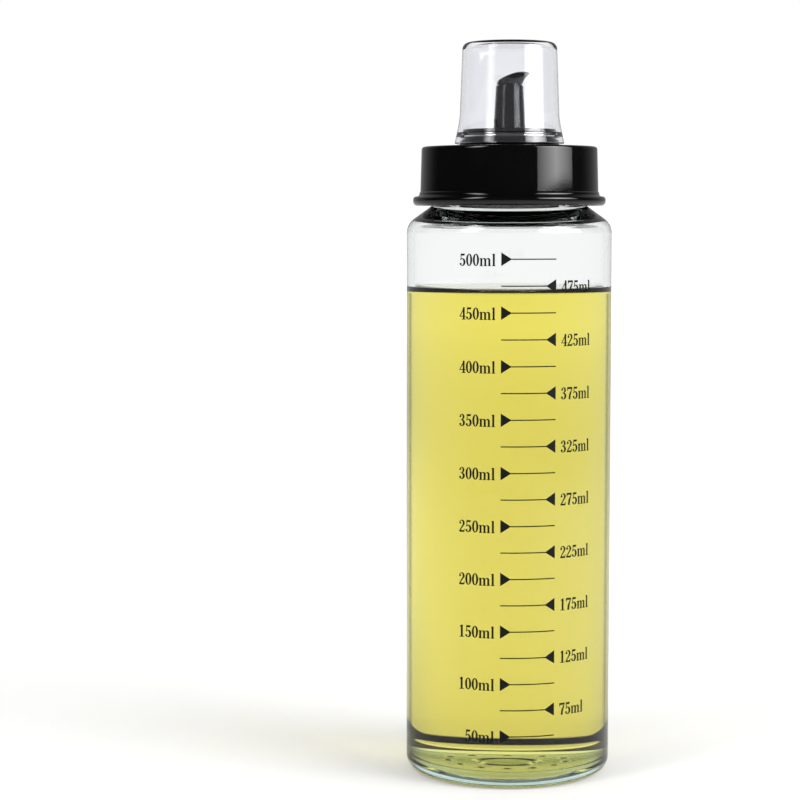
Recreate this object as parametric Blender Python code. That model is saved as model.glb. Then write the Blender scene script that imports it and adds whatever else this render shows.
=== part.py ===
"""
Oil bottle: a glass cylinder with a screw-on pouring lid, a spout in a drip collar and a clear dust cap.

Run with: blender --background --python part.py
Metres, +Z up. The origin is on the ground on the bottle's axis, and the spout's lip points to +X.
"""

import bpy
import bmesh
from math import ceil, cos, pi, radians, sin, tan
from mathutils import Vector

MM = 0.001

# How finely round shapes are made
ROUND_SIDES = 48
FILLET_STEP = radians(24)
SMALL_FILLET_STEP = radians(46)
DOME_STEPS = 3
SMALL_HOLE_SIDES = 16
SHARP_ANGLE = radians(35)

# Fillets up to this radius are made with fewer points
SMALL_FILLET = 1.0 * MM

# Most of an edge that one fillet may use, alone and beside another fillet
WHOLE_EDGE_SHARE = 0.96
SHARED_EDGE_SHARE = 0.48

# Gap kept between pieces that touch or slide on each other
FIT_GAP = 0.3 * MM

# Glass bottle
BODY_DIAMETER = 66.5 * MM
BODY_WALL = 2.4 * MM
SHOULDER_SLOPE = radians(36)
SHOULDER_FILLET = 5.5 * MM
BOTTLE_HEIGHT = 199.3 * MM
NECK_HEIGHT = 14.1 * MM
NECK_DIAMETER = 48.8 * MM
NECK_WALL = 2.4 * MM
NECK_FILLET = 1.5 * MM
LIP_FILLET = 0.7 * MM
HEEL_FILLET = 8.0 * MM
FOOT_RING_WIDTH = 1.6 * MM
PUSH_UP_HEIGHT = 2.6 * MM
FLOOR_THICKNESS = 4.2 * MM
FLOOR_RISE = 1.8 * MM
FLOOR_FILLET = 6.0 * MM

# Oil in the bottle: from its level up to where the wall would meet the shoulder without its fillet
HEADSPACE = 20.5 * MM

# Screw thread between the neck and the lid
THREAD_PITCH = 4.0 * MM
THREAD_TOP_BELOW_LIP = 3.4 * MM
THREAD_ABOVE_NECK_FOOT = 0.8 * MM
THREAD_FLANK_SLOPE_SHARE = 0.45
THREAD_FADE_TURNS = 0.1
THREAD_BURIED = 0.5 * MM
NECK_THREAD_DEPTH = 1.2 * MM
NECK_THREAD_CREST = 0.8 * MM
LID_THREAD_DEPTH = 1.5 * MM
LID_THREAD_CREST = 0.7 * MM
LID_THREAD_LATER_TURNS = 0.5
THREAD_PLAY = 0.35 * MM
THREAD_CREST_GAP = 0.7 * MM

# Soft ring on the glass lip
GASKET_THICKNESS = 0.7 * MM

# Screw cap: its walls are measured from its bore, which fits over the neck's thread
CAP_SHOULDER_GAP = 0.9 * MM
CAP_TOP_WALL = 2.1 * MM
CAP_BAND_WALL = 2.5 * MM
CAP_TOP_THICKNESS = 1.6 * MM
CAP_EDGE_FILLET = 0.9 * MM
CAP_MOUTH_FILLET = 0.5 * MM
BEAD_WALL = 4.85 * MM
BEAD_THICKNESS = 3.0 * MM
BEAD_FILLET = 1.4 * MM
BAND_STEP_HEIGHT = 1.5 * MM
BAND_STEP_WIDTH = 0.3 * MM
BAND_FOOT_FILLET = 0.9 * MM
HOLE_RIM_WIDTH = 0.6 * MM
HOLE_RIM_HEIGHT = 2.0 * MM
HOLE_RIM_FILLET = 0.25 * MM
SNAP_RING_DEPTH = 0.8 * MM
SNAP_RING_HEIGHT = 0.9 * MM

# Pouring insert
FLANGE_EDGE_GAP = 0.4 * MM
FLANGE_THICKNESS = 1.2 * MM
FLANGE_FILLET = 0.3 * MM
PLUG_WALL = 1.3 * MM
PLUG_DEPTH = 5.0 * MM
PLUG_FILLET = 0.4 * MM
COLLAR_DIAMETER = 30.5 * MM
COLLAR_WALL = 1.4 * MM
COLLAR_HEIGHT = 5.5 * MM
COLLAR_FILLET = 0.55 * MM
BASIN_DEPTH = 4.9 * MM
BASIN_FLOOR_THICKNESS = 1.3 * MM
BASIN_FILLET = 0.8 * MM
SPOUT_BASE_DIAMETER = 10.9 * MM
SPOUT_TOP_DIAMETER = 8.8 * MM
SPOUT_FOOT_FILLET = 0.6 * MM
SPOUT_SHOULDER_FILLET = 0.3 * MM
SPOUT_TUBE_HEIGHT = 19.1 * MM
SPOUT_WALL = 1.0 * MM
SPOUT_GROOVE_DEPTH = 0.45 * MM
SPOUT_GROOVE_WIDTH = 0.5 * MM

# Slanted mouth of the spout, above the groove
HEAD_STEP = 0.15 * MM
MOUTH_FLARE = 1.0 * MM
MOUTH_SHIFT = 1.35 * MM
MOUTH_LOW_HEIGHT = 1.2 * MM
MOUTH_RISE = 2.5 * MM
MOUTH_CREST_SHARE = 0.82
MOUTH_WALL = 0.6 * MM
MOUTH_FLARE_POWER = 1.8
HEAD_STEPS = 4

# Openings in the insert
ARCH_WIDTH = 4.5 * MM
ARCH_HEIGHT = 8.5 * MM
ARCH_STEPS = 6
DRAIN_DIAMETER = 6.0 * MM
DRAIN_OFFSET = 1.05 * MM
DRAIN_DIRECTION = radians(-162)
VENT_DIAMETER = 1.3 * MM
VENT_OFFSET = 2.8 * MM
VENT_DIRECTION = radians(138.6)
CUT_OVERRUN = 1.0 * MM

# Clear dust cap: it stands over the collar and the spout
DUST_CAP_LIFT = 1.0 * MM
DUST_CAP_HEADROOM = 8.5 * MM
DUST_CAP_TAPER = 0.9 * MM
DUST_CAP_WAIST_REACH = 0.85 * MM
DUST_CAP_WAIST_ABOVE_COLLAR = 3.3 * MM
DUST_CAP_WAIST_FILLET = 30.0 * MM
DUST_CAP_LIP_GAP = 0.7 * MM
DUST_CAP_WALL = 0.9 * MM
DUST_CAP_ROOF = 1.1 * MM
DUST_CAP_TOP_FILLET = 1.3 * MM
DUST_CAP_INNER_FILLET = 0.8 * MM
DUST_CAP_LIP_FILLET = 0.25 * MM
GRIP_BEAD_BELOW_COLLAR = 1.8 * MM
GRIP_BEAD_WIDTH = 0.5 * MM
GRIP_BEAD_RAMP = 0.5 * MM

# Radii and heights that follow from the sizes above
body_radius = BODY_DIAMETER / 2
body_bore = body_radius - BODY_WALL
neck_radius = NECK_DIAMETER / 2
neck_bore = neck_radius - NECK_WALL
foot_inner = body_radius - HEEL_FILLET - FOOT_RING_WIDTH
neck_foot = BOTTLE_HEIGHT - NECK_HEIGHT
body_corner = neck_foot - (body_radius - neck_radius) * tan(SHOULDER_SLOPE)
oil_level = body_corner - HEADSPACE

flange_bottom = BOTTLE_HEIGHT + FIT_GAP + GASKET_THICKNESS + FIT_GAP
flange_top = flange_bottom + FLANGE_THICKNESS
cap_underside = flange_top + FIT_GAP
cap_top = cap_underside + CAP_TOP_THICKNESS
cap_bore = neck_radius + NECK_THREAD_DEPTH + THREAD_CREST_GAP
cap_bottom = neck_foot - (cap_bore - neck_radius) * tan(SHOULDER_SLOPE) + CAP_SHOULDER_GAP
snap_radius = cap_bore - SNAP_RING_DEPTH
snap_top = flange_bottom - FIT_GAP

collar_radius = COLLAR_DIAMETER / 2
collar_bore = collar_radius - COLLAR_WALL
collar_top = cap_top + COLLAR_HEIGHT
basin_floor = collar_top - BASIN_DEPTH
basin_underside = basin_floor - BASIN_FLOOR_THICKNESS
cap_hole = collar_radius + FIT_GAP
hole_rim = cap_hole + HOLE_RIM_WIDTH
plug_radius = neck_bore - FIT_GAP
plug_bottom = flange_bottom - PLUG_DEPTH
spout_base = SPOUT_BASE_DIAMETER / 2
spout_top = SPOUT_TOP_DIAMETER / 2
tube_top = basin_floor + SPOUT_TUBE_HEIGHT
head_bottom = tube_top + SPOUT_GROOVE_WIDTH
drain_distance = spout_base + DRAIN_OFFSET
vent_distance = spout_base + VENT_OFFSET

dust_cap_bottom = cap_top + DUST_CAP_LIFT
dust_cap_ceiling = head_bottom + MOUTH_LOW_HEIGHT + MOUTH_RISE + DUST_CAP_HEADROOM

# Thread: the heights are those of the ridge's middle at its two ends
neck_thread_half = NECK_THREAD_CREST / 2 + THREAD_FLANK_SLOPE_SHARE * NECK_THREAD_DEPTH
neck_thread_low = neck_foot + THREAD_ABOVE_NECK_FOOT + neck_thread_half
neck_thread_high = BOTTLE_HEIGHT - THREAD_TOP_BELOW_LIP - neck_thread_half
thread_turns = (neck_thread_high - neck_thread_low) / THREAD_PITCH
thread_overlap = neck_radius + NECK_THREAD_DEPTH - (cap_bore - LID_THREAD_DEPTH)
thread_halves = (NECK_THREAD_CREST + LID_THREAD_CREST) / 2 + THREAD_FLANK_SLOPE_SHARE * thread_overlap
lid_thread_low = neck_thread_low - thread_halves - THREAD_PLAY


def clear_scene():
    for thing in list(bpy.data.objects):
        bpy.data.objects.remove(thing, do_unlink=True)


def make_material(name, color, roughness, metallic=0.0, transmission=0.0):
    material = bpy.data.materials.new(name)
    material.use_nodes = True
    shader = material.node_tree.nodes["Principled BSDF"]
    shader.inputs["Base Color"].default_value = (*color, 1.0)
    shader.inputs["Roughness"].default_value = roughness
    shader.inputs["Metallic"].default_value = metallic
    shader.inputs["Transmission Weight"].default_value = transmission
    return material


# Outlines: lists of (radius, height) points, rounded at their corners

def rounded(corners):
    """Turns corners of (radius, height, fillet) into points, with an arc at each fillet."""
    places = [Vector((radius, height)) for radius, height, fillet in corners]
    points = []
    for number, (radius, height, fillet) in enumerate(corners):
        corner = places[number]
        if fillet == 0:
            points.append(corner)
            continue
        last = number - 1
        following = (number + 1) % len(places)
        before = places[last] - corner
        after = places[following] - corner
        opening = before.angle(after)
        room_before = before.length * (SHARED_EDGE_SHARE if corners[last][2] else WHOLE_EDGE_SHARE)
        room_after = after.length * (SHARED_EDGE_SHARE if corners[following][2] else WHOLE_EDGE_SHARE)
        reach = min(fillet / tan(opening / 2), room_before, room_after)
        fillet = reach * tan(opening / 2)
        inward = (before.normalized() + after.normalized()).normalized()
        middle = corner + inward * fillet / sin(opening / 2)
        first = corner + before.normalized() * reach - middle
        turn = first.angle_signed(corner + after.normalized() * reach - middle)
        steps = ceil(abs(turn) / (SMALL_FILLET_STEP if fillet <= SMALL_FILLET else FILLET_STEP))
        for step in range(steps + 1):
            arm = turn * step / steps
            points.append(middle + Vector((
                first.x * cos(arm) + first.y * sin(arm),
                first.y * cos(arm) - first.x * sin(arm))))
    return [(point.x, point.y) for point in points]


def dome(radius, edge_height, rise, steps=DOME_STEPS):
    """Corners of a shallow dome, from its edge to just before its middle, and the middle."""
    corners = []
    for step in range(steps + 1):
        share = 1 - step / steps
        corners.append((radius * share, edge_height + rise * (1 - share ** 2), 0))
    return corners


# Meshes made of rings of points, each ring joined to the next

def ring(radius, height, shift=0.0, rise=0.0):
    """A ring round the axis. Rise lifts its +X side along the curve of the spout's mouth."""
    if radius == 0:
        return [Vector((0, 0, height))]
    points = []
    for side in range(ROUND_SIDES):
        turn = 2 * pi * side / ROUND_SIDES
        lift = rise * sin(pi / 2 * (1 + cos(turn)) / 2 / MOUTH_CREST_SHARE)
        points.append(Vector((shift + radius * cos(turn), radius * sin(turn), height + lift)))
    return points


def mesh_from_rings(name, rings, closed):
    """Joins each ring to the next with faces. A closed set also joins the last ring to the first."""
    shape = bmesh.new()
    loops = [[shape.verts.new(point) for point in points] for points in rings]
    pairs = list(zip(loops, loops[1:]))
    if closed:
        pairs.append((loops[-1], loops[0]))
    for one, other in pairs:
        sides = max(len(one), len(other))
        for side in range(sides):
            after = (side + 1) % sides
            corners = [
                one[side % len(one)],
                one[after % len(one)],
                other[after % len(other)],
                other[side % len(other)]]
            shape.faces.new(list(dict.fromkeys(corners)))
    bmesh.ops.recalc_face_normals(shape, faces=shape.faces)
    mesh = bpy.data.meshes.new(name)
    shape.to_mesh(mesh)
    shape.free()
    return mesh


def turned(name, outline, closed):
    """A round mesh: the outline turned about the axis."""
    return mesh_from_rings(name, [ring(radius, height) for radius, height in outline], closed)


# Objects

def add_piece(name, mesh, material, origin_height, parent=None):
    """Adds a mesh drawn at its real heights as an object whose origin is on the axis at origin_height."""
    for vertex in mesh.vertices:
        vertex.co.z -= origin_height
    mesh.materials.append(material)
    mesh.shade_smooth()
    mesh.set_sharp_from_angle(angle=SHARP_ANGLE)
    piece = bpy.data.objects.new(name, mesh)
    piece.location = (0, 0, origin_height)
    if parent:
        piece.parent = parent
        piece.location.z -= parent.location.z
    bpy.context.collection.objects.link(piece)
    return piece


def add_axis(name, height):
    axis = bpy.data.objects.new(name, None)
    axis.location = (0, 0, height)
    axis.empty_display_size = BODY_DIAMETER
    bpy.context.collection.objects.link(axis)
    return axis


def combine(piece, mesh, operation):
    """Joins a mesh to a piece, or cuts it out of it, with a Boolean modifier and a hidden helper object."""
    helper = bpy.data.objects.new(mesh.name, mesh)
    helper.hide_render = True
    helper.display_type = "WIRE"
    bpy.context.collection.objects.link(helper)
    boolean = piece.modifiers.new(mesh.name, "BOOLEAN")
    boolean.operation = operation
    boolean.solver = "EXACT"
    boolean.object = helper


def thread_ridge(name, root_radius, outward, depth, crest_width, low_height, later_turns):
    """A right-hand ridge: it climbs anticlockwise from above, and fades into the wall at its ends."""
    steps = round(thread_turns * ROUND_SIDES)
    start = round(later_turns * ROUND_SIDES)
    fade = THREAD_FADE_TURNS * ROUND_SIDES
    shape = bmesh.new()
    sections = []
    for step in range(steps + 1):
        turn = 2 * pi * (start + step + 0.5) / ROUND_SIDES
        height = low_height + THREAD_PITCH * (start + step) / ROUND_SIDES
        stands = min(1, step / fade, (steps - step) / fade)
        reach = (depth + THREAD_BURIED) * stands - THREAD_BURIED
        section = []
        for side in (-1, 1):
            buried_half = crest_width / 2 + THREAD_FLANK_SLOPE_SHARE * (depth + THREAD_BURIED + THREAD_PLAY)
            crest_half = crest_width / 2 + THREAD_FLANK_SLOPE_SHARE * (depth - reach)
            pair = [(-THREAD_BURIED - THREAD_PLAY, side * buried_half), (reach, side * crest_half)]
            section += pair if side < 0 else reversed(pair)
        sections.append([
            shape.verts.new((
                (root_radius + outward * out) * cos(turn),
                (root_radius + outward * out) * sin(turn),
                height + up))
            for out, up in section])
    for one, other in zip(sections, sections[1:]):
        for corner in range(4):
            after = (corner + 1) % 4
            shape.faces.new((one[corner], one[after], other[after], other[corner]))
    shape.faces.new(sections[0])
    shape.faces.new(sections[-1])
    bmesh.ops.recalc_face_normals(shape, faces=shape.faces)
    mesh = bpy.data.meshes.new(name)
    shape.to_mesh(mesh)
    shape.free()
    return mesh


def bottle_inside(gap, level):
    """Corners of the bottle's inner floor and wall, drawn in by a gap, up to a level."""
    floor = dome(body_bore - gap, FLOOR_THICKNESS + gap, FLOOR_RISE)
    floor.reverse()
    edge_radius, edge_height, _ = floor[-1]
    floor[-1] = (edge_radius, edge_height, FLOOR_FILLET - gap)
    return floor + [(body_bore - gap, level, 0)]


def add_glass_bottle(material):
    slope = tan(SHOULDER_SLOPE)
    inner_drop = BODY_WALL / cos(SHOULDER_SLOPE)
    inner_corner = body_corner - inner_drop + BODY_WALL * slope
    inner_neck_foot = body_corner - inner_drop + (body_radius - neck_bore) * slope
    under = dome(foot_inner, 0, PUSH_UP_HEIGHT)
    under.reverse()
    outside = under + [
        (body_radius, 0, HEEL_FILLET),
        (body_radius, body_corner, SHOULDER_FILLET),
        (neck_radius, neck_foot, NECK_FILLET),
        (neck_radius, BOTTLE_HEIGHT, LIP_FILLET),
        (neck_bore, BOTTLE_HEIGHT, LIP_FILLET),
        (neck_bore, inner_neck_foot, NECK_FILLET)]
    inside = bottle_inside(0, inner_corner)
    inside[-1] = (body_bore, inner_corner, SHOULDER_FILLET - BODY_WALL)
    inside.reverse()
    mesh = turned("glass_bottle", rounded(outside + inside), closed=False)
    bottle = add_piece("glass_bottle", mesh, material, 0)
    ridge = thread_ridge(
        "neck_thread", neck_radius, 1, NECK_THREAD_DEPTH, NECK_THREAD_CREST, neck_thread_low, 0)
    combine(bottle, ridge, "UNION")
    return bottle


def add_oil(material, bottle):
    corners = bottle_inside(FIT_GAP, oil_level) + [(0, oil_level, 0)]
    mesh = turned("oil_fill", rounded(corners), closed=False)
    return add_piece("oil_fill", mesh, material, FLOOR_THICKNESS + FIT_GAP, bottle)


def add_gasket(material, axis):
    low = BOTTLE_HEIGHT + FIT_GAP
    high = low + GASKET_THICKNESS
    inner = plug_radius + FIT_GAP
    outer = snap_radius - FIT_GAP
    mesh = turned("gasket", [(inner, low), (outer, low), (outer, high), (inner, high)], closed=True)
    return add_piece("gasket", mesh, material, low, axis)


def add_screw_cap(material, axis):
    top_radius = cap_bore + CAP_TOP_WALL
    band_radius = cap_bore + CAP_BAND_WALL
    bead_radius = cap_bore + BEAD_WALL
    bead_top = cap_bottom + BEAD_THICKNESS
    step_top = bead_top + BAND_STEP_HEIGHT
    snap_low = snap_top - SNAP_RING_HEIGHT
    corners = [
        (cap_hole, cap_underside, 0),
        (cap_hole, cap_top + HOLE_RIM_HEIGHT, HOLE_RIM_FILLET),
        (hole_rim, cap_top + HOLE_RIM_HEIGHT, HOLE_RIM_FILLET),
        (hole_rim, cap_top, 0),
        (top_radius, cap_top, CAP_EDGE_FILLET),
        (band_radius, step_top, 0),
        (band_radius + BAND_STEP_WIDTH, step_top - BAND_STEP_WIDTH, 0),
        (band_radius + BAND_STEP_WIDTH, bead_top, BAND_FOOT_FILLET),
        (bead_radius, bead_top, BEAD_FILLET),
        (bead_radius, cap_bottom, BEAD_FILLET),
        (cap_bore, cap_bottom, CAP_MOUTH_FILLET),
        (cap_bore, snap_low - SNAP_RING_DEPTH, 0),
        (snap_radius, snap_low, 0),
        (snap_radius, snap_top, 0),
        (cap_bore, snap_top, 0),
        (cap_bore, cap_underside, 0)]
    mesh = turned("screw_cap", rounded(corners), closed=True)
    cap = add_piece("screw_cap", mesh, material, cap_bottom, axis)
    ridge = thread_ridge(
        "lid_thread", cap_bore, -1, LID_THREAD_DEPTH, LID_THREAD_CREST, lid_thread_low,
        LID_THREAD_LATER_TURNS)
    combine(cap, ridge, "UNION")
    return cap


def arch_cutter():
    """An arch that points outward from the axis, through the spout's wall above the drain hole."""
    straight = basin_floor + ARCH_HEIGHT - ARCH_WIDTH / 2
    half = ARCH_WIDTH / 2
    outline = [(-half, basin_underside - CUT_OVERRUN), (half, basin_underside - CUT_OVERRUN)]
    outline += [
        (half * cos(pi * step / ARCH_STEPS), straight + half * sin(pi * step / ARCH_STEPS))
        for step in range(ARCH_STEPS + 1)]
    shape = bmesh.new()
    ends = [[shape.verts.new((out, across, up)) for across, up in outline]
            for out in (SPOUT_WALL, drain_distance)]
    shape.faces.new(ends[0])
    shape.faces.new(ends[1])
    for corner in range(len(outline)):
        after = (corner + 1) % len(outline)
        shape.faces.new((ends[0][corner], ends[0][after], ends[1][after], ends[1][corner]))
    bmesh.ops.recalc_face_normals(shape, faces=shape.faces)
    mesh = bpy.data.meshes.new("spout_arch")
    shape.to_mesh(mesh)
    shape.free()
    turn_about_axis(mesh, DRAIN_DIRECTION)
    return mesh


def floor_hole(name, diameter, distance, direction):
    """A round cutter through the basin's floor."""
    shape = bmesh.new()
    bmesh.ops.create_cone(
        shape, cap_ends=True, segments=SMALL_HOLE_SIDES, radius1=diameter / 2, radius2=diameter / 2,
        depth=BASIN_FLOOR_THICKNESS + 2 * CUT_OVERRUN)
    bmesh.ops.translate(shape, verts=shape.verts, vec=(distance, 0, (basin_floor + basin_underside) / 2))
    mesh = bpy.data.meshes.new(name)
    shape.to_mesh(mesh)
    shape.free()
    turn_about_axis(mesh, direction)
    return mesh


def turn_about_axis(mesh, turn):
    for vertex in mesh.vertices:
        x, y, z = vertex.co
        vertex.co = (x * cos(turn) - y * sin(turn), x * sin(turn) + y * cos(turn), z)


def head_rings():
    """The rings of the spout's head: out and up to its slanted mouth, and back into the bore."""
    head_radius = spout_top - HEAD_STEP
    mouth_radius = head_radius + MOUTH_FLARE
    inner_head = spout_top - SPOUT_WALL
    inner_mouth = mouth_radius - MOUTH_WALL
    rings = []
    for step in range(HEAD_STEPS + 1):
        share = step / HEAD_STEPS
        flare = share ** MOUTH_FLARE_POWER
        rings.append(ring(
            head_radius + (mouth_radius - head_radius) * flare,
            head_bottom + MOUTH_LOW_HEIGHT * share,
            MOUTH_SHIFT * flare,
            MOUTH_RISE * share))
    for step in range(HEAD_STEPS, 0, -1):
        share = step / HEAD_STEPS
        flare = share ** MOUTH_FLARE_POWER
        rings.append(ring(
            inner_head + (inner_mouth - inner_head) * flare,
            head_bottom + MOUTH_LOW_HEIGHT * share,
            MOUTH_SHIFT * flare,
            MOUTH_RISE * share))
    return rings


def add_pourer_insert(material, axis):
    flange_radius = cap_bore - FLANGE_EDGE_GAP
    groove_radius = spout_top - SPOUT_GROOVE_DEPTH
    inner_plug = plug_radius - PLUG_WALL
    below_head = [
        (plug_radius, flange_bottom, 0),
        (flange_radius, flange_bottom, FLANGE_FILLET),
        (flange_radius, flange_top, FLANGE_FILLET),
        (collar_radius, flange_top, 0),
        (collar_radius, collar_top, COLLAR_FILLET),
        (collar_bore, collar_top, COLLAR_FILLET),
        (collar_bore, basin_floor, BASIN_FILLET),
        (spout_base, basin_floor, SPOUT_FOOT_FILLET),
        (spout_top, tube_top, SPOUT_SHOULDER_FILLET),
        (groove_radius, tube_top, 0),
        (groove_radius, head_bottom, 0)]
    after_head = [
        (spout_top - SPOUT_WALL, head_bottom, 0),
        (spout_base - SPOUT_WALL, basin_underside, 0),
        (collar_bore, basin_underside, 0),
        (collar_bore, flange_bottom, 0),
        (inner_plug, flange_bottom, 0),
        (inner_plug, plug_bottom, PLUG_FILLET),
        (plug_radius, plug_bottom, PLUG_FILLET),
        (plug_radius, flange_bottom, 0)]
    rings = [ring(radius, height) for radius, height in rounded(below_head)]
    rings += head_rings()
    rings += [ring(radius, height) for radius, height in rounded(after_head)[:-1]]
    mesh = mesh_from_rings("pourer_insert", rings, closed=True)
    insert = add_piece("pourer_insert", mesh, material, flange_bottom, axis)
    combine(insert, arch_cutter(), "DIFFERENCE")
    combine(insert, floor_hole("drain_hole", DRAIN_DIAMETER, drain_distance, DRAIN_DIRECTION), "DIFFERENCE")
    combine(insert, floor_hole("vent_hole", VENT_DIAMETER, vent_distance, VENT_DIRECTION), "DIFFERENCE")
    return insert


def add_dust_cap(material, axis):
    waist_radius = collar_radius + DUST_CAP_WAIST_REACH
    top_radius = waist_radius - DUST_CAP_TAPER
    lip_radius = hole_rim + DUST_CAP_LIP_GAP + DUST_CAP_WALL
    waist = collar_top + DUST_CAP_WAIST_ABOVE_COLLAR
    dust_cap_top = dust_cap_ceiling + DUST_CAP_ROOF
    flare = (lip_radius - waist_radius) / (waist - dust_cap_bottom)
    bead_middle = collar_top - GRIP_BEAD_BELOW_COLLAR
    bead_radius = collar_radius + FIT_GAP

    def inside_radius(height):
        return lip_radius - DUST_CAP_WALL - flare * (height - dust_cap_bottom)

    bead_high = bead_middle + GRIP_BEAD_WIDTH / 2
    bead_low = bead_middle - GRIP_BEAD_WIDTH / 2
    corners = [
        (0, dust_cap_top, 0),
        (top_radius, dust_cap_top, DUST_CAP_TOP_FILLET),
        (waist_radius, waist, DUST_CAP_WAIST_FILLET),
        (lip_radius, dust_cap_bottom, DUST_CAP_LIP_FILLET),
        (lip_radius - DUST_CAP_WALL, dust_cap_bottom, DUST_CAP_LIP_FILLET),
        (inside_radius(bead_low - GRIP_BEAD_RAMP), bead_low - GRIP_BEAD_RAMP, 0),
        (bead_radius, bead_low, 0),
        (bead_radius, bead_high, 0),
        (inside_radius(bead_high + GRIP_BEAD_RAMP), bead_high + GRIP_BEAD_RAMP, 0),
        (waist_radius - DUST_CAP_WALL, waist, DUST_CAP_WAIST_FILLET),
        (top_radius - DUST_CAP_WALL, dust_cap_ceiling, DUST_CAP_INNER_FILLET),
        (0, dust_cap_ceiling, 0)]
    mesh = turned("dust_cap", rounded(corners), closed=False)
    return add_piece("dust_cap", mesh, material, dust_cap_bottom, axis)


def main():
    clear_scene()
    glass = make_material("clear_glass", (0.93, 0.96, 0.97), 0.03, transmission=0.9)
    oil = make_material("golden_oil", (0.86, 0.80, 0.24), 0.05, transmission=0.5)
    black = make_material("black_plastic", (0.012, 0.012, 0.014), 0.12)
    soft = make_material("white_silicone", (0.82, 0.83, 0.82), 0.55)
    clear = make_material("clear_plastic", (0.93, 0.94, 0.97), 0.06, transmission=0.9)
    lid_axis = add_axis("lid_axis", BOTTLE_HEIGHT)
    bottle = add_glass_bottle(glass)
    add_oil(oil, bottle)
    add_gasket(soft, lid_axis)
    add_pourer_insert(black, lid_axis)
    add_screw_cap(black, lid_axis)
    add_dust_cap(clear, lid_axis)


main()
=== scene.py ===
"""
Oil bottle: the looks of its glass, oil, lid, spout, clear dust cap and printed scale.

Metres, +Z up along the bottle's axis. The photograph is taken from -Y, and the spout's lip points
to +X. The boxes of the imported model's solids give the outer radii and heights, and the names below
give the rest.
"""

from math import acosh, ceil, cos, pi, radians, sin, sqrt, tan

import bmesh
import bpy
from mathutils import Matrix, Vector, geometry


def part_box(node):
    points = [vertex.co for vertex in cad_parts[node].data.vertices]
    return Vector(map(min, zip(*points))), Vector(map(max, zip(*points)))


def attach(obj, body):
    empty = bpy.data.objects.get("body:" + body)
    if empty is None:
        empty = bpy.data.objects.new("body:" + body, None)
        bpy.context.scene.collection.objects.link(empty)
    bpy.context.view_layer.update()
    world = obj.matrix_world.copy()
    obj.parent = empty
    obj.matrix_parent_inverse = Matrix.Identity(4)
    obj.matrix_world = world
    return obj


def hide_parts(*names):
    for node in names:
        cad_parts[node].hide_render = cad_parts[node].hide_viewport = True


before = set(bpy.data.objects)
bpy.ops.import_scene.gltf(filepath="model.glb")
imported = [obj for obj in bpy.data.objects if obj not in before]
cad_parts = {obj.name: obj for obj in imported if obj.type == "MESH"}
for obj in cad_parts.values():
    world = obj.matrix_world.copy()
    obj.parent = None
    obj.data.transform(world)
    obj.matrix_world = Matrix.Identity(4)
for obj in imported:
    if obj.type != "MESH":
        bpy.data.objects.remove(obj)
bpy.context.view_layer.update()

MM = 0.001

# How finely round shapes are made
ROUND_SIDES = 192
FILLET_STEP = radians(6)
LEAST_FILLET_STEPS = 4
SHARP_ANGLE = radians(32)
BRACE = 0.12 * MM
LEAST_BRACED = 0.8 * MM

# Most of an edge that one fillet may use, alone and beside another fillet
WHOLE_EDGE_SHARE = 0.96
SHARED_EDGE_SHARE = 0.48

# Sizes that the boxes of the solids give
glass_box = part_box("glass_bottle")
oil_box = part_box("oil_fill")
gasket_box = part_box("gasket")
insert_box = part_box("pourer_insert")
cap_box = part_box("screw_cap")
dust_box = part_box("dust_cap")

# Gap between parts that fit, and how far apart two radii still count as one
FIT_GAP = 0.3 * MM
SAME_RADIUS = FIT_GAP / 10

# Glass bottle
body_radius = glass_box[1].x
lip_height = glass_box[1].z
BODY_WALL = 2.4 * MM
SHOULDER_SLOPE = radians(36)
INNER_SHOULDER_SLOPE = radians(19)
SHOULDER_FILLET = 5.5 * MM
NECK_HEIGHT = 14.1 * MM
NECK_DIAMETER = 48.8 * MM
NECK_WALL = 2.4 * MM
NECK_FILLET = 1.5 * MM
LIP_FILLET = 0.7 * MM
HEEL_FILLET = 8.0 * MM
FOOT_RING_WIDTH = 1.3 * MM
FOOT_FILLET = 0.8 * MM
PANEL_HEIGHT = 2.5 * MM
PANEL_RISE = 0.6 * MM
PANEL_STEP_SLOPE = radians(80)
PANEL_FILLET = 1.2 * MM
FLOOR_THICKNESS = 5.0 * MM
FLOOR_RISE = 0.6 * MM
FLOOR_FILLET = 3.0 * MM
DOME_STEPS = 90

# Plain ring and dots moulded under the base
BASE_RING_RADIUS = 6.6 * MM
BASE_RING_HALF_WIDTH = 1.4 * MM
BASE_RING_HEIGHT = 0.9 * MM
BASE_DOTS = 12
BASE_DOT_DISTANCE = 13.2 * MM
BASE_DOT_RADIUS = 1.4 * MM
BASE_DOT_HEIGHT = 0.6 * MM

# Screw threads: rounded ridges on the neck and in the lid
THREAD_PITCH = 4.0 * MM
THREAD_TOP_BELOW_LIP = 3.4 * MM
THREAD_ABOVE_NECK_FOOT = 0.8 * MM
THREAD_FADE_TURNS = 0.1
THREAD_ROW = 0.25 * MM
NECK_THREAD_DEPTH = 1.2 * MM
NECK_THREAD_HALF_WIDTH = 1.15 * MM
NECK_THREAD_HALF_AT_ROOT = 0.94 * MM
LID_THREAD_DEPTH = 1.5 * MM
LID_THREAD_HALF_WIDTH = 1.2 * MM
LID_THREAD_BELOW_NECK_THREAD = 1.415 * MM
LID_THREAD_LATER_TURNS = 0.5

# Oil
OIL_IN_GLASS = 0.06 * MM
MENISCUS_LENGTH = 1.9 * MM
MENISCUS_HEIGHT = 2.1 * MM
MENISCUS_ABOVE_LEVEL = 0.5 * MM
MENISCUS_LEAST = 0.01 * MM
MENISCUS_STEPS = 24

# Gasket: how round its edges are, as a share of its thickness
GASKET_FILLET_SHARE = 0.25

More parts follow.
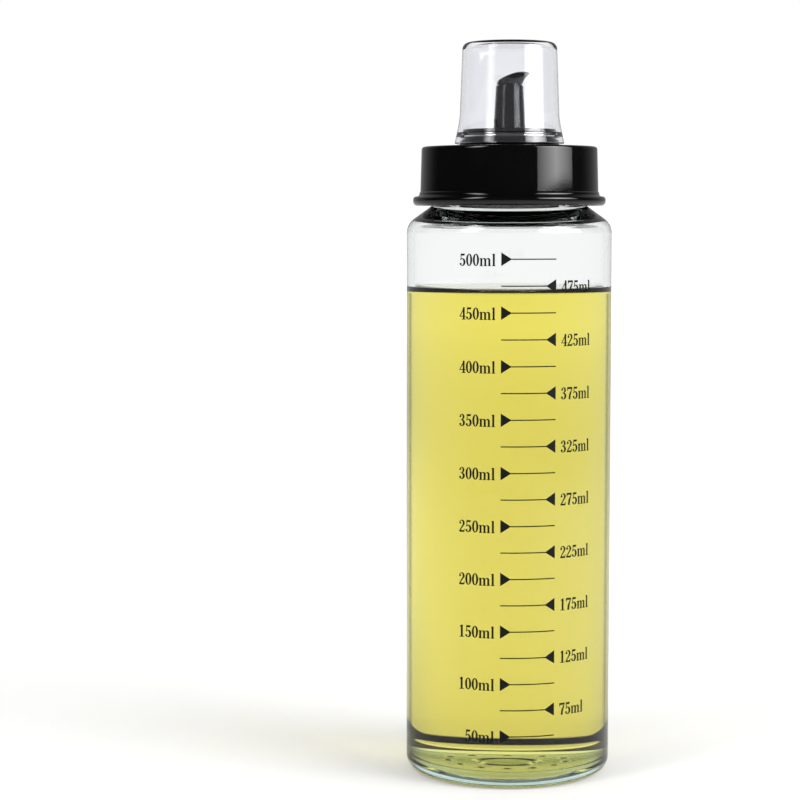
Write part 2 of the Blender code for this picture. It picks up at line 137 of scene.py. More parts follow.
# Screw cap
CAP_TOP_WALL = 2.1 * MM
CAP_BAND_WALL = 2.5 * MM
CAP_TOP_THICKNESS = 1.6 * MM
CAP_EDGE_FILLET = 0.9 * MM
CAP_MOUTH_FILLET = 0.5 * MM
BEAD_WALL = 4.85 * MM
BEAD_THICKNESS = 3.0 * MM
BEAD_FILLET = 1.4 * MM
BAND_STEP_HEIGHT = 1.5 * MM
BAND_STEP_WIDTH = 0.3 * MM
BAND_FOOT_FILLET = 0.9 * MM
HOLE_RIM_WIDTH = 0.6 * MM
HOLE_RIM_HEIGHT = 2.0 * MM
HOLE_RIM_FILLET = 0.25 * MM
SNAP_RING_DEPTH = 0.8 * MM
SNAP_RING_HEIGHT = 0.9 * MM

# Pouring insert
FLANGE_THICKNESS = 1.2 * MM
FLANGE_FILLET = 0.3 * MM
PLUG_WALL = 1.3 * MM
PLUG_DEPTH = 5.0 * MM
PLUG_FILLET = 0.4 * MM
COLLAR_DIAMETER = 30.5 * MM
COLLAR_WALL = 1.4 * MM
COLLAR_HEIGHT = 5.5 * MM
COLLAR_FILLET = 0.55 * MM
BASIN_DEPTH = 4.9 * MM
BASIN_FLOOR_THICKNESS = 1.3 * MM
BASIN_FILLET = 0.8 * MM
SPOUT_BASE_DIAMETER = 10.9 * MM
SPOUT_TOP_DIAMETER = 8.8 * MM
SPOUT_FOOT_FILLET = 0.6 * MM
SPOUT_SHOULDER_FILLET = 0.3 * MM
SPOUT_TUBE_HEIGHT = 19.1 * MM
SPOUT_WALL = 1.0 * MM
SPOUT_GROOVE_DEPTH = 0.45 * MM
SPOUT_GROOVE_WIDTH = 0.5 * MM

# Slanted mouth of the spout, above the groove
HEAD_STEP = 0.15 * MM
MOUTH_FLARE = 1.0 * MM
MOUTH_SHIFT = 1.35 * MM
MOUTH_LOW_HEIGHT = 1.2 * MM
MOUTH_RISE = 2.5 * MM
MOUTH_CREST_SHARE = 0.82
MOUTH_WALL = 0.6 * MM
MOUTH_FLARE_POWER = 1.8
HEAD_STEPS = 16
LIP_STEPS = 8

# Openings in the insert
ARCH_WIDTH = 4.5 * MM
ARCH_HEIGHT = 8.5 * MM
ARCH_STEPS = 24
DRAIN_DIAMETER = 6.0 * MM
DRAIN_OFFSET = 1.05 * MM
DRAIN_DIRECTION = radians(-162)
VENT_DIAMETER = 1.3 * MM
VENT_OFFSET = 2.8 * MM
VENT_DIRECTION = radians(138.6)
HOLE_SIDES = 48
CUT_OVERRUN = 1.0 * MM

# Clear dust cap
DUST_CAP_TAPER = 0.9 * MM
DUST_CAP_WAIST_REACH = 0.85 * MM
DUST_CAP_WAIST_ABOVE_COLLAR = 3.3 * MM
DUST_CAP_WAIST_FILLET = 30.0 * MM
DUST_CAP_LIP_GAP = 0.7 * MM
DUST_CAP_WALL = 0.9 * MM
DUST_CAP_ROOF = 1.1 * MM
DUST_CAP_TOP_FILLET = 2.2 * MM
DUST_CAP_INNER_FILLET = 1.5 * MM
DUST_CAP_LIP_FILLET = 0.25 * MM
GRIP_BEAD_BELOW_COLLAR = 1.8 * MM
GRIP_BEAD_WIDTH = 0.5 * MM
GRIP_BEAD_RAMP = 0.5 * MM

# Radii and heights that follow
body_bore = body_radius - BODY_WALL
neck_radius = NECK_DIAMETER / 2
neck_bore = neck_radius - NECK_WALL
foot_inner = body_radius - HEEL_FILLET - FOOT_RING_WIDTH
neck_foot = lip_height - NECK_HEIGHT
body_corner = neck_foot - (body_radius - neck_radius) * tan(SHOULDER_SLOPE)
oil_top = oil_box[1].z + MENISCUS_ABOVE_LEVEL
oil_level = oil_top - MENISCUS_HEIGHT

cap_bottom = cap_box[0].z
cap_top = cap_box[1].z - HOLE_RIM_HEIGHT
cap_underside = cap_top - CAP_TOP_THICKNESS
cap_bore = cap_box[1].x - BEAD_WALL
flange_bottom = gasket_box[1].z + FIT_GAP
flange_top = flange_bottom + FLANGE_THICKNESS
snap_radius = cap_bore - SNAP_RING_DEPTH
snap_top = flange_bottom - FIT_GAP

collar_radius = COLLAR_DIAMETER / 2
collar_bore = collar_radius - COLLAR_WALL
collar_top = cap_top + COLLAR_HEIGHT
basin_floor = collar_top - BASIN_DEPTH
basin_underside = basin_floor - BASIN_FLOOR_THICKNESS
cap_hole = collar_radius + FIT_GAP
hole_rim = cap_hole + HOLE_RIM_WIDTH
plug_radius = neck_bore - FIT_GAP
plug_bottom = flange_bottom - PLUG_DEPTH
spout_base = SPOUT_BASE_DIAMETER / 2
spout_top = SPOUT_TOP_DIAMETER / 2
tube_top = basin_floor + SPOUT_TUBE_HEIGHT
head_bottom = tube_top + SPOUT_GROOVE_WIDTH
drain_distance = spout_base + DRAIN_OFFSET
vent_distance = spout_base + VENT_OFFSET

dust_cap_bottom = dust_box[0].z
dust_cap_top = dust_box[1].z
dust_cap_ceiling = dust_cap_top - DUST_CAP_ROOF

neck_thread_low = neck_foot + THREAD_ABOVE_NECK_FOOT + NECK_THREAD_HALF_AT_ROOT
neck_thread_high = lip_height - THREAD_TOP_BELOW_LIP - NECK_THREAD_HALF_AT_ROOT
thread_turns = (neck_thread_high - neck_thread_low) / THREAD_PITCH
lid_thread_low = neck_thread_low - LID_THREAD_BELOW_NECK_THREAD


def add_object(name, data):
    thing = bpy.data.objects.new(name, data)
    bpy.context.collection.objects.link(thing)
    return thing


def mesh_from_shape(name, shape):
    """Turns a shape that bmesh has edited into a mesh."""
    mesh = bpy.data.meshes.new(name)
    shape.to_mesh(mesh)
    shape.free()
    return mesh


# Camera: the photograph's view

IMAGE_WIDTH = 800
FOCAL_PIXELS = 2264
SENSOR_WIDTH = 36.0
CAMERA_DISTANCE = 738.3 * MM
CAMERA_HEIGHT = 182.1 * MM
CAMERA_PITCH = radians(4.70)
CAMERA_YAW = radians(2.75)


def add_camera():
    data = bpy.data.cameras.new("camera")
    data.sensor_width = SENSOR_WIDTH
    data.lens = SENSOR_WIDTH * FOCAL_PIXELS / IMAGE_WIDTH
    camera = add_object("camera", data)
    camera.location = (0, -CAMERA_DISTANCE, CAMERA_HEIGHT)
    camera.rotation_euler = (pi / 2 - CAMERA_PITCH, 0, CAMERA_YAW)
    bpy.context.scene.camera = camera


# Outlines: lists of (radius, height) points, rounded at their corners

def fillet_room(edge, far_corner):
    """How much of an edge one fillet may use, with or without another at its far corner."""
    return edge.length * (SHARED_EDGE_SHARE if far_corner[2] else WHOLE_EDGE_SHARE)


def rounded(corners):
    """Turns corners of (radius, height, fillet) into points, with an arc at each fillet."""
    places = [Vector((radius, height)) for radius, height, fillet in corners]
    points = []
    for number, (radius, height, fillet) in enumerate(corners):
        corner = places[number]
        if fillet == 0:
            points.append(corner)
            continue
        last = number - 1
        following = (number + 1) % len(places)
        before = places[last] - corner
        after = places[following] - corner
        opening = before.angle(after)
        reach = min(
            fillet / tan(opening / 2),
            fillet_room(before, corners[last]),
            fillet_room(after, corners[following]))
        fillet = reach * tan(opening / 2)
        inward = (before.normalized() + after.normalized()).normalized()
        middle = corner + inward * fillet / sin(opening / 2)
        first = corner + before.normalized() * reach - middle
        turn = first.angle_signed(corner + after.normalized() * reach - middle)
        steps = max(LEAST_FILLET_STEPS, ceil(abs(turn) / FILLET_STEP))
        for step in range(steps + 1):
            arm = turn * step / steps
            points.append(middle + Vector((
                first.x * cos(arm) + first.y * sin(arm),
                first.y * cos(arm) - first.x * sin(arm))))
    return [(point.x, point.y) for point in points]


def dome(radius, edge_height, rise):
    """Corners of a shallow dome, from its middle to its edge."""
    corners = []
    for step in range(DOME_STEPS, -1, -1):
        share = 1 - step / DOME_STEPS
        corners.append((radius * share, edge_height + rise * (1 - share ** 2), 0))
    return corners


def braced(outline):
    """Adds a point close to each end of a long straight stretch, to keep its shading flat."""
    points = []
    for one, other in zip(outline, outline[1:]):
        points.append(one)
        along = Vector(other) - Vector(one)
        if along.length > LEAST_BRACED and max(one[0], other[0]) > 0:
            step = along.normalized() * BRACE
            points.append((one[0] + step.x, one[1] + step.y))
            points.append((other[0] - step.x, other[1] - step.y))
    return points + outline[-1:]


def with_rows(outline, radius, low, high):
    """Adds close rows of points to the long straight wall at a radius, for a thread to stand on."""
    points = []
    for one, other in zip(outline, outline[1:] + outline[:1]):
        points.append(one)
        straight = max(abs(one[0] - radius), abs(other[0] - radius)) < SAME_RADIUS
        climb = other[1] - one[1]
        if straight and abs(climb) > (high - low) / 2:
            rows = ceil(abs(climb) / THREAD_ROW)
            points += [(radius, one[1] + climb * row / rows) for row in range(1, rows)]
    return points


# Meshes made of rings of points, each ring joined to the next

def ring(radius, height, shift=0.0, rise=0.0, bend=None):
    """A ring round the axis. Rise lifts its +X side along the curve of the spout's mouth."""
    if radius == 0:
        return [Vector((0, 0, height))]
    points = []
    for side in range(ROUND_SIDES):
        turn = 2 * pi * side / ROUND_SIDES
        out, up = bend(radius, height, turn) if bend else (radius, height)
        lift = rise * sin(pi / 2 * (1 + cos(turn)) / 2 / MOUTH_CREST_SHARE)
        points.append(Vector((shift + out * cos(turn), out * sin(turn), up + lift)))
    return points


def mesh_from_rings(name, rings, closed):
    """Joins each ring to the next with faces, and in a closed set the last ring to the first."""
    shape = bmesh.new()
    loops = [[shape.verts.new(point) for point in points] for points in rings]
    pairs = list(zip(loops, loops[1:]))
    if closed:
        pairs.append((loops[-1], loops[0]))
    for one, other in pairs:
        sides = max(len(one), len(other))
        for side in range(sides):
            after = (side + 1) % sides
            corners = [
                one[side % len(one)],
                one[after % len(one)],
                other[after % len(other)],
                other[side % len(other)]]
            shape.faces.new(list(dict.fromkeys(corners)))
    bmesh.ops.recalc_face_normals(shape, faces=shape.faces)
    return mesh_from_shape(name, shape)


def turned(name, outline, closed, bend=None):
    """A round mesh: the outline turned about the axis. Bend moves each point by where it is."""
    outline = braced(outline + outline[:1])[:-1] if closed else braced(outline)
    rings = [ring(radius, height, bend=bend) for radius, height in outline]
    return mesh_from_rings(name, rings, closed)


def add_piece(name, mesh, material, body, slot, *nodes):
    """Adds a mesh as a piece that rides on a body. It replaces the solids of the nodes named."""
    mesh.materials.clear()
    mesh.materials.append(material)
    mesh.shade_smooth()
    mesh.set_sharp_from_angle(angle=SHARP_ANGLE)
    piece = add_object(name, mesh)
    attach(piece, body)
    if nodes:
        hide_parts(*nodes)


def cut(name, mesh, cutters):
    """The mesh with the cutters taken out of it."""
    piece = add_object(name, mesh)
    helpers = [add_object(cutter.name, cutter) for cutter in cutters]
    for helper in helpers:
        boolean = piece.modifiers.new(helper.name, "BOOLEAN")
        boolean.operation = "DIFFERENCE"
        boolean.solver = "EXACT"
        boolean.object = helper
    finished = piece.evaluated_get(bpy.context.evaluated_depsgraph_get())
    made = bpy.data.meshes.new_from_object(finished)
    made.name = name + "_mesh"
    for thing in [piece, *helpers]:
        bpy.data.objects.remove(thing)
    return made


def thread_ridge(turn, height, low, turns, depth, half_width):
    """How far a rounded thread ridge stands out of its wall at a turn and height."""
    stands = 0.0
    for whole in range(-1, ceil(turns) + 1):
        along = turn / (2 * pi) + whole
        if not 0 <= along <= turns:
            continue
        off = abs(height - low - THREAD_PITCH * along) / half_width
        if off < 1:
            fade = min(1, along / THREAD_FADE_TURNS, (turns - along) / THREAD_FADE_TURNS)
            stands = max(stands, depth * fade * (1 + cos(pi * off)) / 2)
    return stands


# Glass bottle and oil

def bend_glass(radius, height, turn):
    """Raises the thread on the neck, and the ring and dots under the base."""
    if abs(radius - neck_radius) < SAME_RADIUS and height > neck_foot:
        return radius + thread_ridge(
            turn, height, neck_thread_low, thread_turns,
            NECK_THREAD_DEPTH, NECK_THREAD_HALF_WIDTH), height
    if height <= PANEL_HEIGHT + PANEL_RISE:
        apart = 2 * pi / BASE_DOTS
        aside = radius * sin(turn - apart * round(turn / apart))
        to_dot = sqrt((radius - BASE_DOT_DISTANCE) ** 2 + aside ** 2)
        for off, drop in (
                (abs(radius - BASE_RING_RADIUS) / BASE_RING_HALF_WIDTH, BASE_RING_HEIGHT),
                (to_dot / BASE_DOT_RADIUS, BASE_DOT_HEIGHT)):
            if off < 1:
                height -= drop * (1 + cos(pi * off)) / 2
    return radius, height


def bottle_inside(gap, level):
    """Corners of the bottle's inner floor and wall, drawn in by a gap, up to a level."""
    wall = body_bore - gap
    bottom = FLOOR_THICKNESS + gap
    floor = [
        corner for corner in dome(wall, bottom, FLOOR_RISE)
        if corner[0] <= body_bore - FLOOR_FILLET]
    return floor + [(wall, bottom, FLOOR_FILLET - gap), (wall, level, 0)]


def add_glass_bottle(material):
    inner_fillet = SHOULDER_FILLET - BODY_WALL
    arc_middle = body_corner - SHOULDER_FILLET / tan(pi / 4 + SHOULDER_SLOPE / 2)
    inner_corner = arc_middle + inner_fillet / tan(pi / 4 + INNER_SHOULDER_SLOPE / 2)
    inner_neck_foot = inner_corner + (body_bore - neck_bore) * tan(INNER_SHOULDER_SLOPE)
    panel_radius = foot_inner - PANEL_HEIGHT / tan(PANEL_STEP_SLOPE)
    under = dome(panel_radius - PANEL_FILLET, PANEL_HEIGHT, PANEL_RISE)
    under += [(panel_radius, PANEL_HEIGHT, PANEL_FILLET), (foot_inner, 0, FOOT_FILLET)]
    outside = under + [
        (body_radius, 0, HEEL_FILLET),
        (body_radius, body_corner, SHOULDER_FILLET),
        (neck_radius, neck_foot, NECK_FILLET),
        (neck_radius, lip_height, LIP_FILLET),
        (neck_bore, lip_height, LIP_FILLET),
        (neck_bore, inner_neck_foot, NECK_FILLET)]
    inside = bottle_inside(0, inner_corner)
    inside[-1] = (body_bore, inner_corner, inner_fillet)
    inside.reverse()
    outline = with_rows(rounded(outside + inside), neck_radius, neck_foot, lip_height)
    mesh = turned("glass_wall", outline, False, bend_glass)
    add_piece("bottle_glass", mesh, material, "bottle", "clear_glass", "glass_bottle")


def meniscus(wall):
    """Points of the oil's free surface, from where it clings to the wall to the flat middle."""
    def reach(height):
        """How far from the wall the oil stands this high, less a constant."""
        ratio = height / MENISCUS_LENGTH
        return MENISCUS_LENGTH * (acosh(2 / ratio) - sqrt(4 - ratio ** 2))

    points = []
    for step in range(MENISCUS_STEPS + 1):
        height = MENISCUS_HEIGHT * (MENISCUS_LEAST / MENISCUS_HEIGHT) ** (step / MENISCUS_STEPS)
        points.append((wall - reach(height) + reach(MENISCUS_HEIGHT), oil_level + height))
    return points + [(0, oil_level)]


def add_oil(material):
    wall = body_bore + OIL_IN_GLASS
    below = rounded(bottle_inside(-OIL_IN_GLASS, oil_level))[:-1]
    mesh = turned("oil_body", below + meniscus(wall), False)
    add_piece("oil", mesh, material, "bottle", "golden_oil", "oil_fill")


# Lid

def bend_cap(radius, height, turn):
    """Raises the thread inside the lid."""
    if abs(radius - cap_bore) < SAME_RADIUS and height < snap_top:
        return radius - thread_ridge(
            turn, height, lid_thread_low, thread_turns + LID_THREAD_LATER_TURNS,
            LID_THREAD_DEPTH, LID_THREAD_HALF_WIDTH), height
    return radius, height


def add_screw_cap(material):
    top_radius = cap_bore + CAP_TOP_WALL
    band_radius = cap_bore + CAP_BAND_WALL
    bead_radius = cap_bore + BEAD_WALL
    bead_top = cap_bottom + BEAD_THICKNESS
    foot_radius = band_radius + BAND_STEP_WIDTH
    step_top = bead_top + BAND_STEP_HEIGHT
    rim_top = cap_top + HOLE_RIM_HEIGHT
    snap_low = snap_top - SNAP_RING_HEIGHT
    corners = [
        (cap_hole, cap_underside, 0),
        (cap_hole, rim_top, HOLE_RIM_FILLET),
        (hole_rim, rim_top, HOLE_RIM_FILLET),
        (hole_rim, cap_top, HOLE_RIM_FILLET),
        (top_radius, cap_top, CAP_EDGE_FILLET),
        (band_radius, step_top, 0),
        (foot_radius, step_top - BAND_STEP_WIDTH, 0),
        (foot_radius, bead_top, BAND_FOOT_FILLET),
        (bead_radius, bead_top, BEAD_FILLET),
        (bead_radius, cap_bottom, BEAD_FILLET),
        (cap_bore, cap_bottom, CAP_MOUTH_FILLET),
        (cap_bore, snap_low - SNAP_RING_DEPTH, 0),
        (snap_radius, snap_low, 0),
        (snap_radius, snap_top, 0),
        (cap_bore, snap_top, 0),
        (cap_bore, cap_underside, 0)]
    outline = with_rows(rounded(corners), cap_bore, cap_bottom, snap_low)
    mesh = turned("lid_shell", outline, True, bend_cap)
    add_piece("lid_cap", mesh, material, "lid", "black_plastic", "screw_cap")


def add_gasket(material):
    low, high = gasket_box[0].z, gasket_box[1].z
    inner = plug_radius + FIT_GAP
    outer = snap_radius - FIT_GAP
    edge = (high - low) * GASKET_FILLET_SHARE
    corners = [(inner, low, edge), (outer, low, edge), (outer, high, edge), (inner, high, edge)]
    mesh = turned("gasket_ring", rounded(corners), True)
    add_piece("lid_gasket", mesh, material, "pourer", "white_silicone", "gasket")


def prism(name, outline, starts, ends):
    """A straight bar along +X: the outline of (across, up) points, from one distance to another."""
    shape = bmesh.new()
    near, far = (
        [shape.verts.new((out, across, up)) for across, up in outline] for out in (starts, ends))
    shape.faces.new(near)
    shape.faces.new(far)
    for corner in range(len(outline)):
        after = (corner + 1) % len(outline)
        shape.faces.new((near[corner], near[after], far[after], far[corner]))
    bmesh.ops.recalc_face_normals(shape, faces=shape.faces)
    return mesh_from_shape(name, shape)


def arch_cutter():
    """An arch through the spout's wall above the drain hole."""
    half = ARCH_WIDTH / 2
    foot = basin_underside - CUT_OVERRUN
    straight = basin_floor + ARCH_HEIGHT - half
    outline = [(-half, foot), (half, foot)]
    outline += [
        (half * cos(pi * step / ARCH_STEPS), straight + half * sin(pi * step / ARCH_STEPS))
        for step in range(ARCH_STEPS + 1)]
    mesh = prism("spout_arch", outline, SPOUT_WALL, drain_distance)
    mesh.transform(Matrix.Rotation(DRAIN_DIRECTION, 4, "Z"))
    return mesh


def floor_hole(name, diameter, distance, direction):
    """A round cutter through the basin's floor."""
    shape = bmesh.new()
    bmesh.ops.create_cone(
        shape, cap_ends=True, segments=HOLE_SIDES, radius1=diameter / 2, radius2=diameter / 2,
        depth=BASIN_FLOOR_THICKNESS + 2 * CUT_OVERRUN)
    middle = (distance, 0, (basin_floor + basin_underside) / 2)
    bmesh.ops.translate(shape, verts=shape.verts, vec=middle)
    mesh = mesh_from_shape(name, shape)
    mesh.transform(Matrix.Rotation(direction, 4, "Z"))
    return mesh


def head_rings():
    """Rings of the spout's head: out and up to its slanted mouth, over the round lip, and back."""
    head_radius = spout_top - HEAD_STEP
    mouth_radius = head_radius + MOUTH_FLARE
    inner_head = spout_top - SPOUT_WALL
    inner_mouth = mouth_radius - MOUTH_WALL
    lip_edge = MOUTH_LOW_HEIGHT - MOUTH_WALL / 2
    rings = []
    for first, last, order in (
            (head_radius, mouth_radius, range(HEAD_STEPS + 1)),
            (inner_head, inner_mouth, range(HEAD_STEPS, 0, -1))):
        for step in order:
            share = step / HEAD_STEPS
            flare = share ** MOUTH_FLARE_POWER
            rings.append(ring(
                first + (last - first) * flare, head_bottom + lip_edge * share,
                MOUTH_SHIFT * flare, MOUTH_RISE * share))
        if first == head_radius:
            for step in range(1, LIP_STEPS):
                arm = pi * step / LIP_STEPS
                rings.append(ring(
                    mouth_radius - MOUTH_WALL / 2 * (1 - cos(arm)),
                    head_bottom + lip_edge + MOUTH_WALL / 2 * sin(arm),
                    MOUTH_SHIFT, MOUTH_RISE))
    return rings


def add_pourer_insert(material):
    flange_radius = insert_box[1].x
    groove_radius = spout_top - SPOUT_GROOVE_DEPTH
    inner_plug = plug_radius - PLUG_WALL
    below_head = [
        (plug_radius, flange_bottom, 0),
        (flange_radius, flange_bottom, FLANGE_FILLET),
        (flange_radius, flange_top, FLANGE_FILLET),
        (collar_radius, flange_top, 0),
        (collar_radius, collar_top, COLLAR_FILLET),
        (collar_bore, collar_top, COLLAR_FILLET),
        (collar_bore, basin_floor, BASIN_FILLET),
        (spout_base, basin_floor, SPOUT_FOOT_FILLET),
        (spout_top, tube_top, SPOUT_SHOULDER_FILLET),
        (groove_radius, tube_top, 0),
        (groove_radius, head_bottom, 0)]
    after_head = [
        (spout_top - SPOUT_WALL, head_bottom, 0),
        (spout_base - SPOUT_WALL, basin_underside, 0),
        (collar_bore, basin_underside, 0),
        (collar_bore, flange_bottom, 0),
        (inner_plug, flange_bottom, 0),
        (inner_plug, plug_bottom, PLUG_FILLET),
        (plug_radius, plug_bottom, PLUG_FILLET),
        (plug_radius, flange_bottom, 0)]
    rings = [ring(radius, height) for radius, height in braced(rounded(below_head))]
    rings += head_rings()
    rings += [ring(radius, height) for radius, height in braced(rounded(after_head))[:-1]]
    whole = mesh_from_rings("insert_body", rings, closed=True)
    mesh = cut("insert", whole, [
        arch_cutter(),
        floor_hole("drain_hole", DRAIN_DIAMETER, drain_distance, DRAIN_DIRECTION),
        floor_hole("vent_hole", VENT_DIAMETER, vent_distance, VENT_DIRECTION)])
    add_piece("pouring_spout", mesh, material, "pourer", "black_plastic", "pourer_insert")


def add_dust_cap(material):
    waist_radius = collar_radius + DUST_CAP_WAIST_REACH
    top_radius = waist_radius - DUST_CAP_TAPER
    lip_radius = hole_rim + DUST_CAP_LIP_GAP + DUST_CAP_WALL
    waist = collar_top + DUST_CAP_WAIST_ABOVE_COLLAR
    flare = (lip_radius - waist_radius) / (waist - dust_cap_bottom)
    bead_middle = collar_top - GRIP_BEAD_BELOW_COLLAR
    bead_radius = collar_radius + FIT_GAP

    def inside_radius(height):
        return lip_radius - DUST_CAP_WALL - flare * (height - dust_cap_bottom)

    bead_high = bead_middle + GRIP_BEAD_WIDTH / 2
    bead_low = bead_middle - GRIP_BEAD_WIDTH / 2
    corners = [
        (0, dust_cap_top, 0),
        (top_radius, dust_cap_top, DUST_CAP_TOP_FILLET),
        (waist_radius, waist, DUST_CAP_WAIST_FILLET),
        (lip_radius, dust_cap_bottom, DUST_CAP_LIP_FILLET),
        (inside_radius(dust_cap_bottom), dust_cap_bottom, DUST_CAP_LIP_FILLET),
        (inside_radius(bead_low - GRIP_BEAD_RAMP), bead_low - GRIP_BEAD_RAMP, 0),
        (bead_radius, bead_low, 0),
        (bead_radius, bead_high, 0),
        (inside_radius(bead_high + GRIP_BEAD_RAMP), bead_high + GRIP_BEAD_RAMP, 0),
        (waist_radius - DUST_CAP_WALL, waist, DUST_CAP_WAIST_FILLET),
        (top_radius - DUST_CAP_WALL, dust_cap_ceiling, DUST_CAP_INNER_FILLET),
        (0, dust_cap_ceiling, 0)]
    mesh = turned("dust_cap_shell", rounded(corners), False)
    add_piece("clear_dust_cap", mesh, material, "dust_cap", "clear_plastic", "dust_cap")


# Printed scale. A mark's outline is drawn flat, in heights of a digit, and laid round the glass.

MARK_500_HEIGHT = 168.05 * MM
HEIGHT_PER_ML = 0.33483 * MM
MOST_ML = 500
LEAST_ML = 50
ML_STEP = 25
ML_PER_LEFT_MARK = 50
DIGIT_HEIGHT = 3.83 * MM
DIGIT_WIDENING = 1.08
TEXT_DROP = 0.24 * MM
LEFT_TEXT_ENDS = radians(-7.2)
LEFT_POINTER_STARTS = radians(-4.1)
RIGHT_POINTER_ENDS = radians(26.4)
RIGHT_TEXT_STARTS = radians(29.7)
POINTER_LENGTH = 3.4 * MM
POINTER_HEIGHT = 4.3 * MM
LINE_THICKNESS = 0.37 * MM
INK_LIFT = -0.01 * MM
INK_THICKNESS = 0.03 * MM
INK_STRIP = 0.8 * MM
ROUND_STROKE_STEPS = 14
CLOSE_POINTS = 0.002 * MM
INK_SPREAD = 0.03 * MM
INK_SPREAD_UP_SHARE = 0.5

# Widths of the characters and thickness of their feet, as shares of the digit's height
DIGIT_ADVANCE = 0.545
M_ADVANCE = 0.97
L_ADVANCE = 0.25
SERIF_HEIGHT = 0.05


def box_of(low_x, low_y, high_x, high_y):
    return [(low_x, low_y), (high_x, low_y), (high_x, high_y), (low_x, high_y)]


def bow(outer, inner, start, end):
    """A stroke between two ellipses of (middle x, middle y, half width, half height)."""
    sides = []
    for middle_x, middle_y, half_width, half_height in (outer, inner):
        side = []
        for step in range(ROUND_STROKE_STEPS + 1):
            turn = radians(start + (end - start) * step / ROUND_STROKE_STEPS)
            side.append((middle_x + half_width * cos(turn), middle_y + half_height * sin(turn)))
        sides.append(side)
    return sides[0] + sides[1][::-1]


def dot(middle_x, middle_y, radius):
    return [
        (middle_x + radius * cos(2 * pi * step / ROUND_STROKE_STEPS),
         middle_y + radius * sin(2 * pi * step / ROUND_STROKE_STEPS))
        for step in range(ROUND_STROKE_STEPS)]


def glyph_strokes():
    """The strokes of each character, as shares of the digit's height."""
    foot = SERIF_HEIGHT
    zero = (0.25, 0.5, 0.245, 0.5), (0.25, 0.5, 0.095, 0.435)
    m_strokes = [[(0.0, 0.63), (0.0, 0.585), (0.06, 0.57), (0.2, 0.66), (0.17, 0.66)]]
    for stem in (0.06, 0.37, 0.68):
        m_strokes.append(box_of(stem, 0, stem + 0.14, 0.5))
        m_strokes.append(box_of(stem - 0.055, 0, stem + 0.195, foot))
    m_strokes.append(box_of(0.06, 0.45, 0.2, 0.62))
    for middle in (0.34, 0.65):
        outer, inner = (middle, 0.47, 0.17, 0.19), (middle - 0.055, 0.46, 0.085, 0.13)
        m_strokes.append(bow(outer, inner, 158, 0))
    return {
        "0": [bow(*zero, -90, 90), bow(*zero, 90, 270)],
        "1": [
            box_of(0.18, 0, 0.33, 1.0),
            box_of(0.05, 0, 0.46, foot),
            [(0.04, 0.86), (0.18, 0.84), (0.33, 1.0), (0.25, 1.0)]],
        "2": [
            bow((0.25, 0.72, 0.225, 0.28), (0.215, 0.72, 0.115, 0.215), 160, -20),
            dot(0.1, 0.745, 0.08),
            [(0.46, 0.64), (0.33, 0.65), (0.02, 0.09), (0.02, 0), (0.12, 0.12)],
            [(0.02, 0), (0.44, 0), (0.485, 0.27), (0.455, 0.27), (0.4, 0.14), (0.05, 0.14)]],
        "3": [
            bow((0.23, 0.765, 0.205, 0.235), (0.2, 0.765, 0.1, 0.17), 150, -80),
            bow((0.225, 0.275, 0.25, 0.275), (0.19, 0.275, 0.125, 0.21), 80, -150),
            box_of(0.13, 0.5, 0.27, 0.555),
            dot(0.095, 0.8, 0.075),
            dot(0.085, 0.175, 0.08)],
        "4": [
            box_of(0.29, 0, 0.43, 1.0),
            box_of(0.2, 0, 0.52, foot),
            box_of(0.0, 0.24, 0.53, 0.3),
            [(0.0, 0.26), (0.065, 0.26), (0.43, 1.0), (0.36, 1.0)]],
        "5": [
            [(0.09, 1.0), (0.13, 0.84), (0.4, 0.84), (0.44, 1.0)],
            box_of(0.09, 0.48, 0.14, 1.0),
            bow((0.235, 0.315, 0.255, 0.315), (0.2, 0.315, 0.13, 0.245), 142, -145),
            dot(0.085, 0.17, 0.08)],
        "7": [
            [(0.02, 1.0), (0.02, 0.7), (0.05, 0.7), (0.09, 0.84), (0.47, 0.84), (0.49, 1.0)],
            [(0.15, 0), (0.31, 0), (0.33, 0.3), (0.49, 0.9), (0.43, 0.88), (0.2, 0.42)]],
        "m": m_strokes,
        "l": [
            box_of(0.05, 0, 0.19, 1.0),
            box_of(-0.005, 0, 0.245, foot),
            [(0.0, 0.98), (0.0, 0.935), (0.05, 0.92), (0.19, 1.02), (0.16, 1.02)]]}


def advance(character):
    return {"m": M_ADVANCE, "l": L_ADVANCE}.get(character, DIGIT_ADVANCE)


def text_width(text):
    return sum(advance(character) for character in text) * DIGIT_HEIGHT * DIGIT_WIDENING


def text_strokes(text, start, base):
    """Flat outlines of a text in metres. Each stroke comes twice, a little apart, to be bolder."""
    strokes = []
    glyphs = glyph_strokes()
    along = start
    across = DIGIT_HEIGHT * DIGIT_WIDENING
    for character in text:
        for stroke in glyphs[character]:
            for spread in (-INK_SPREAD, INK_SPREAD):
                rise = spread * INK_SPREAD_UP_SHARE
                strokes.append([
                    (along + x * across + spread, base + y * DIGIT_HEIGHT + rise)
                    for x, y in stroke])
        along += advance(character) * across
    return strokes


